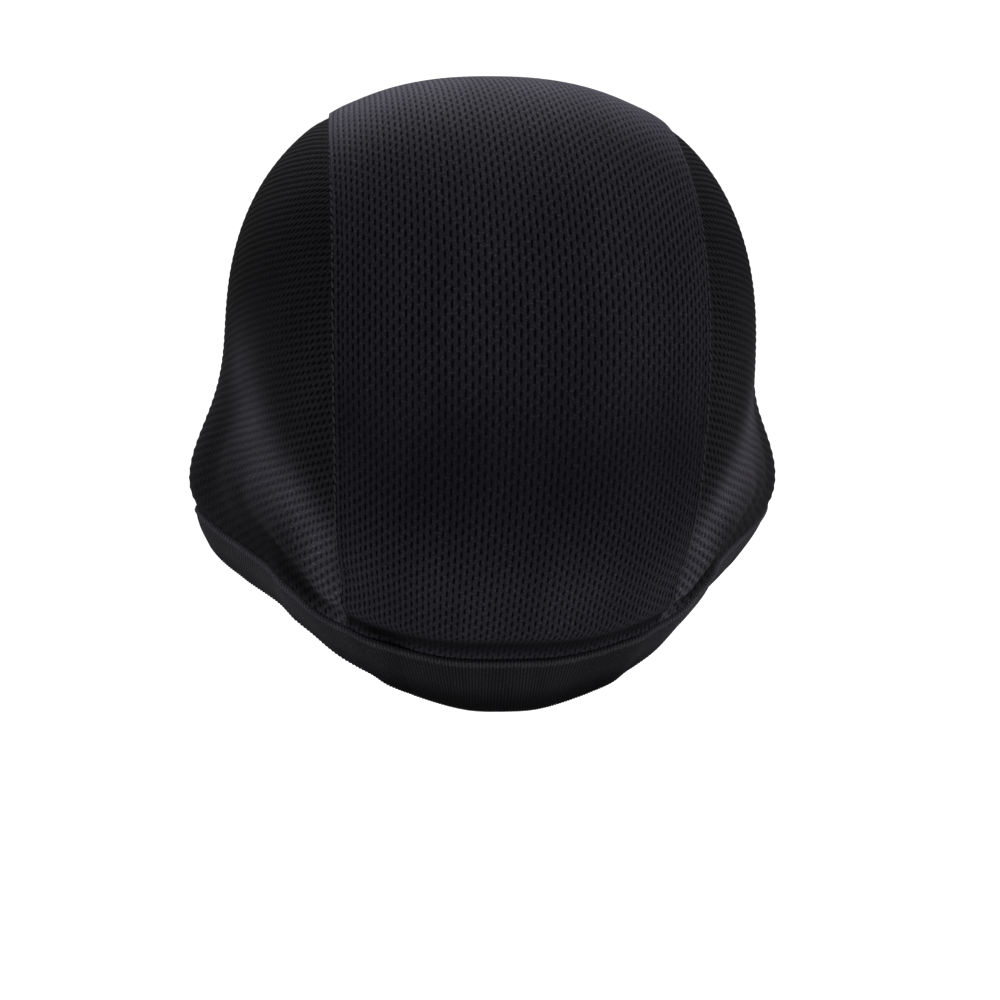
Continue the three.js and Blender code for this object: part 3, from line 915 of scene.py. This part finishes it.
def allowance_ribbon(name, mirror):
    """A closed ribbon along the inside of a long seam, on the wearer's left, or mirrored to the right."""
    near, far = allowance_clear, allowance_clear + allowance_thick
    across = (-allowance_half, 0, allowance_half)
    section = [(off, near) for off in across] + [(off, far) for off in across[::-1]]
    lines = []
    for off, inward in section:
        ways = direct(seam_over_line, seam_lean(seam_over_line, off))
        line = cloth_point(ways) - outward(cloth_point, ways) * inward
        lines.append(line * (mirror, 1, 1) + head_middle)
    count, length = len(section), len(seam_over_line)
    points = np.stack(lines, axis=1).reshape(-1, 3)
    k, m = np.meshgrid(np.arange(length - 1), np.arange(count), indexing="ij")
    a, b = (k * count + m).ravel(), (k * count + (m + 1) % count).ravel()
    last = (length - 1) * count
    ends = [[0, m, m + 1] for m in range(1, count - 1)]
    ends += [[last, last + m + 1, last + m] for m in range(1, count - 1)]
    walls = np.stack((a, b, b + count), axis=-1), np.stack((a, b + count, a + count), axis=-1)
    faces = np.concatenate((*walls, ends))
    faces = faces[:, ::-1] if mirror > 0 else faces
    courses = np.arange(length) / lines_per_course
    spots = np.stack((np.tile(np.arange(count), length), np.repeat(courses, count)), axis=-1)
    return smooth_mesh(name, points, faces, spots, np.ones(len(points)), np.zeros(len(points)))


left_ribbon = allowance_ribbon("left_seam_allowance", 1)
right_ribbon = allowance_ribbon("right_seam_allowance", -1)
for ribbon in (left_ribbon, right_ribbon):
    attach(ribbon, "root")

# Cloth finish
# Dyed polyester yarn, near black with a little purple, and a paler thread. One group draws the knit for all
# four: the shade of the yarn, with painted shade in the dimples and painted glints, and the height of its
# loops.
dimple_soft_from, dimple_soft_to = 0.65, 1.35
dimple_rounding = (2, 2.6)
# The painted shade in the dimples, weaker where the cloth is painted paler
dimple_painted_shade, dimple_fill = 0.8, 0.15
loops_per_course, loop_sway, loop_height = 7, 0.35, 0.00003
fuzz_scale, fuzz_along = 2.6, 2.1
glint_from, glint_to = 0.5, 0.72
glint_pale, glint_height, glint_when_shut = 1.3, 0.00007, 0.35
slant_height = 0.0002
patch_scale, patch_from, patch_to = 0.09, 0.3, 0.7
base_shade = 0.75
base_rough, dimple_rough, glint_smooth = 0.72, 0.2, 0.14


def knit_group():
    """Eyelet knit: shade and height of the cloth at a place given in wales and courses."""
    group = bpy.data.node_groups.new("Eyelet knit", "ShaderNodeTree")
    face = group.interface
    face.new_socket("Place", in_out="INPUT", socket_type="NodeSocketVector")
    for label in ("Yarn", "Worn yarn"):
        face.new_socket(label, in_out="INPUT", socket_type="NodeSocketColor")
    for label in (
        "Dimple width", "Dimple length", "Dimple depth", "Rib depth", "Slant rib", "Rib shade",
        "Painted_light_and_stretch", "Openness",
    ):
        face.new_socket(label, in_out="INPUT", socket_type="NodeSocketFloat")
    face.new_socket("Color", in_out="OUTPUT", socket_type="NodeSocketColor")
    for label in ("Roughness", "Height"):
        face.new_socket(label, in_out="OUTPUT", socket_type="NodeSocketFloat")
    nodes, links = group.nodes, group.links
    source, result = nodes.new("NodeGroupInput"), nodes.new("NodeGroupOutput")

    def math_node(kind, a, b=None):
        node = nodes.new("ShaderNodeMath")
        node.operation = kind
        for socket, value in zip(node.inputs, (a, b)):
            if isinstance(value, (int, float)):
                socket.default_value = value
            elif value is not None:
                links.new(value, socket)
        return node.outputs[0]

    def eased_node(value, low, high):
        node = nodes.new("ShaderNodeMapRange")
        node.interpolation_type = "SMOOTHSTEP"
        node.inputs["From Min"].default_value = low
        node.inputs["From Max"].default_value = high
        links.new(value, node.inputs["Value"])
        return node.outputs[0]

    def wave_node(kind, turns):
        return math_node(kind, math_node("MULTIPLY", turns, 2 * math.pi))

    def noise_node(vector, scale):
        node = nodes.new("ShaderNodeTexNoise")
        links.new(vector, node.inputs["Vector"])
        node.inputs["Scale"].default_value = scale
        node.inputs["Detail"].default_value = 2
        return node

    split = nodes.new("ShaderNodeSeparateXYZ")
    links.new(source.outputs["Place"], split.inputs[0])
    wale, course = split.outputs[0], split.outputs[1]

    # The staggered dimples, one half of them at a time
    dimples = []
    for half in (0, 1):
        moved = math_node("FLOORED_MODULO", math_node("ADD", wale, 1 - half), 2)
        u = math_node("ABSOLUTE", math_node("SUBTRACT", moved, 1))
        shifted = math_node("FRACT", math_node("ADD", course, 0.5 - 0.5 * half))
        v = math_node("ABSOLUTE", math_node("SUBTRACT", shifted, 0.5))
        u = math_node("DIVIDE", u, source.outputs["Dimple width"])
        v = math_node("DIVIDE", v, source.outputs["Dimple length"])
        u, v = (math_node("POWER", side, power) for side, power in zip((u, v), dimple_rounding))
        dimples.append(math_node("SQRT", math_node("ADD", u, v)))
    dimple = eased_node(math_node("MINIMUM", *dimples), dimple_soft_to, dimple_soft_from)
    dimple = math_node("MULTIPLY", dimple, source.outputs["Openness"])

    # The loops of the wales, the lines of dimples that run across them, and the fuzz of the yarn
    sway = math_node("MULTIPLY", wave_node("SINE", wale), loop_sway)
    loops = math_node("ADD", math_node("MULTIPLY", course, loops_per_course), sway)
    loops = wave_node("SINE", loops)
    rib = wave_node("COSINE", wale)
    line = math_node("ADD", course, math_node("MULTIPLY", wale, 0.5))
    slant = math_node("MULTIPLY", wave_node("COSINE", line), source.outputs["Slant rib"])
    stretched = nodes.new("ShaderNodeVectorMath")
    stretched.operation = "MULTIPLY"
    links.new(source.outputs["Place"], stretched.inputs[0])
    stretched.inputs[1].default_value = (1, fuzz_along, 1)
    fuzz = noise_node(stretched.outputs[0], fuzz_scale)
    fuzz.inputs["Roughness"].default_value = 0.6
    glint = eased_node(fuzz.outputs[0], glint_from, glint_to)
    drawn = math_node("MULTIPLY", source.outputs["Openness"], 1 - glint_when_shut)
    glint = math_node("MULTIPLY", glint, math_node("ADD", glint_when_shut, drawn))
    patch = noise_node(source.outputs["Place"], patch_scale)

    # Shade: yarn to worn yarn in patches, painted glints on the loops, painted shade in the dimples and in
    # the grooves of the slanted lines, painted light on the raised parts of the wales, all times the mesh's
    # factor of painted light and shade
    mixed = nodes.new("ShaderNodeMix")
    mixed.data_type = "RGBA"
    links.new(eased_node(patch.outputs[0], patch_from, patch_to), mixed.inputs["Factor"])
    links.new(source.outputs["Yarn"], mixed.inputs[6])
    links.new(source.outputs["Worn yarn"], mixed.inputs[7])
    shade = math_node("ADD", base_shade, math_node("MULTIPLY", glint, glint_pale))
    filled = math_node("MULTIPLY", source.outputs["Painted_light_and_stretch"], dimple_fill)
    filled = math_node("DIVIDE", dimple_painted_shade, math_node("ADD", 1 - dimple_fill, filled))
    for part in (
        source.outputs["Painted_light_and_stretch"],
        math_node("SUBTRACT", 1, math_node("MULTIPLY", dimple, filled)),
        math_node("ADD", 1, math_node("MULTIPLY", rib, source.outputs["Rib shade"])),
        math_node("SUBTRACT", 1, slant),
    ):
        shade = math_node("MULTIPLY", shade, part)
    scaled = nodes.new("ShaderNodeVectorMath")
    scaled.operation = "SCALE"
    links.new(mixed.outputs[2], scaled.inputs[0])
    links.new(shade, scaled.inputs["Scale"])
    links.new(scaled.outputs[0], result.inputs["Color"])
    rough = math_node("ADD", base_rough, math_node("MULTIPLY", dimple, dimple_rough))
    rough = math_node("SUBTRACT", rough, math_node("MULTIPLY", glint, glint_smooth))
    links.new(rough, result.inputs["Roughness"])
    height = math_node("MULTIPLY", dimple, math_node("MULTIPLY", source.outputs["Dimple depth"], -1))
    for part, rise in (
        (rib, source.outputs["Rib depth"]), (loops, loop_height), (glint, glint_height),
        (slant, -slant_height),
    ):
        height = math_node("ADD", height, math_node("MULTIPLY", part, rise))
    links.new(height, result.inputs["Height"])
    return group


knit = knit_group()


def cloth(name, yarn, worn, dimple, rib, slant, shade, sheen, specular):
    """A cloth's material: the knit group, its bump and a dull shader with a little sheen. The dimple is its
    width, length and depth; the shade is painted light on the raised parts of the wales, and the slant
    draws the slanted lines, as bump and as painted shade in their grooves."""
    material = bpy.data.materials.new(name)
    material.use_nodes = True
    nodes, links = material.node_tree.nodes, material.node_tree.links
    shader = nodes["Principled BSDF"]
    place = nodes.new("ShaderNodeUVMap")
    place.uv_map = "knit"
    weave = nodes.new("ShaderNodeGroup")
    weave.node_tree = knit
    links.new(place.outputs[0], weave.inputs["Place"])
    # Each mesh's factor of painted light and shade, which over the ears also stands for stretched yarn
    for label in ("Painted_light_and_stretch", "Openness"):
        drawn = nodes.new("ShaderNodeAttribute")
        drawn.attribute_type = "GEOMETRY"
        drawn.attribute_name = label.lower()
        links.new(drawn.outputs["Fac"], weave.inputs[label])
    weave.inputs["Yarn"].default_value = (*yarn, 1)
    weave.inputs["Worn yarn"].default_value = (*worn, 1)
    values = (*dimple, rib, slant, shade)
    labels = "Dimple width", "Dimple length", "Dimple depth", "Rib depth", "Slant rib", "Rib shade"
    for label, value in zip(labels, values):
        weave.inputs[label].default_value = value
    bump = nodes.new("ShaderNodeBump")
    bump.inputs["Strength"].default_value = 1
    bump.inputs["Distance"].default_value = 1
    links.new(weave.outputs["Height"], bump.inputs["Height"])
    links.new(weave.outputs["Color"], shader.inputs["Base Color"])
    links.new(weave.outputs["Roughness"], shader.inputs["Roughness"])
    links.new(bump.outputs[0], shader.inputs["Normal"])
    shader.inputs["Specular IOR Level"].default_value = specular
    shader.inputs["Sheen Weight"].default_value = sheen
    shader.inputs["Sheen Roughness"].default_value = 0.45
    shader.inputs["Sheen Tint"].default_value = (0.9, 0.88, 1, 1)
    return material


centre_cloth = cloth(
    "centre mesh knit", yarn=(0.0297, 0.0282, 0.0375), worn=(0.0373, 0.0355, 0.0461),
    dimple=(0.17, 0.31, 0.0002), rib=-0.00004, slant=0.05, shade=-0.16, sheen=0.01, specular=0.04,
)
side_cloth = cloth(
    "side mesh knit", yarn=(0.0193, 0.0182, 0.0227), worn=(0.0257, 0.0244, 0.0298),
    dimple=(0.19, 0.27, 0.00012), rib=-0.00003, slant=0.2, shade=-0.06, sheen=0.01, specular=0.05,
)
band_cloth = cloth(
    "band knit", yarn=(0.0297, 0.0285, 0.034), worn=(0.036, 0.0345, 0.0408), dimple=(0.001, 0.001, 0),
    rib=0.0001, slant=0, shade=0.42, sheen=0.01, specular=0.06,
)
thread_cloth = cloth(
    "thread", yarn=(0.085, 0.081, 0.092), worn=(0.105, 0.1, 0.112), dimple=(0.001, 0.001, 0),
    rib=0.00002, slant=0, shade=0.1, sheen=0.03, specular=0.2,
)
for piece, finish in (
    (centre, centre_cloth), (left, side_cloth), (right, side_cloth), (band, band_cloth),
    (left_ribbon, side_cloth), (right_ribbon, side_cloth),
):
    piece.data.materials.append(finish)
for row in (left_row, right_row, band_row):
    row.data.materials.append(thread_cloth)

# Studio
# A white room with a pale floor well below the cap. The strongest light stands in front and above, so that
# it rakes the crown, a second above the right, and two faint ones fill the flanks from behind.
floor_height = -0.34
floor_half = 14
room_glow = 0.35
paper_glow = 1.1
light_width = 1
cap_middle = (0, 0, -0.1)
floor_mesh = bpy.data.meshes.new("floor")
floor_corners = [
    (x * floor_half, y * floor_half, floor_height) for x, y in ((-1, -1), (1, -1), (1, 1), (-1, 1))
]
floor_mesh.from_pydata(floor_corners, [], [(0, 1, 2, 3)])
floor = bpy.data.objects.new("floor", floor_mesh)
bpy.context.scene.collection.objects.link(floor)
paper = bpy.data.materials.new("white paper")
paper.use_nodes = True
paper_shader = paper.node_tree.nodes["Principled BSDF"]
paper_shader.inputs["Base Color"].default_value = (0.5, 0.5, 0.5, 1)
paper_shader.inputs["Roughness"].default_value = 0.9
paper_shader.inputs["Specular IOR Level"].default_value = 0.1
paper_shader.inputs["Emission Color"].default_value = (1, 1, 1, 1)
paper_path = paper.node_tree.nodes.new("ShaderNodeLightPath")
paper.node_tree.links.new(paper_path.outputs["Is Camera Ray"], paper_shader.inputs["Emission Strength"])
floor.data.materials.append(paper)

world = bpy.data.worlds.new("studio")
bpy.context.scene.world = world
world.use_nodes = True
nodes, links = world.node_tree.nodes, world.node_tree.links
glow = nodes["Background"]
glow.inputs["Color"].default_value = (1, 1, 1, 1)
glow.inputs["Strength"].default_value = room_glow
seen = nodes.new("ShaderNodeBackground")
seen.inputs["Color"].default_value = (1, 1, 1, 1)
seen.inputs["Strength"].default_value = paper_glow
path = nodes.new("ShaderNodeLightPath")
either = nodes.new("ShaderNodeMixShader")
links.new(path.outputs["Is Camera Ray"], either.inputs[0])
links.new(glow.outputs[0], either.inputs[1])
links.new(seen.outputs[0], either.inputs[2])
links.new(either.outputs[0], nodes["World Output"].inputs["Surface"])
bpy.context.scene.view_settings.view_transform = "Standard"


def soft_light(name, place, power):
    data = bpy.data.lights.new(name, "AREA")
    data.shape = "DISK"
    data.size = light_width
    data.energy = power
    light = bpy.data.objects.new(name, data)
    light.location = place
    light.rotation_euler = (Vector(cap_middle) - Vector(place)).to_track_quat("-Z", "Y").to_euler()
    bpy.context.scene.collection.objects.link(light)


soft_light("light over the brow", (0, -1.1, 1.2), 13)
soft_light("light above the right", (-1.2, 0.2, 1.0), 2.5)
soft_light("light behind the right", (-1.4, 0.8, 0), 3)
soft_light("light behind the left", (1.4, 0.8, -0.1), 1.2)
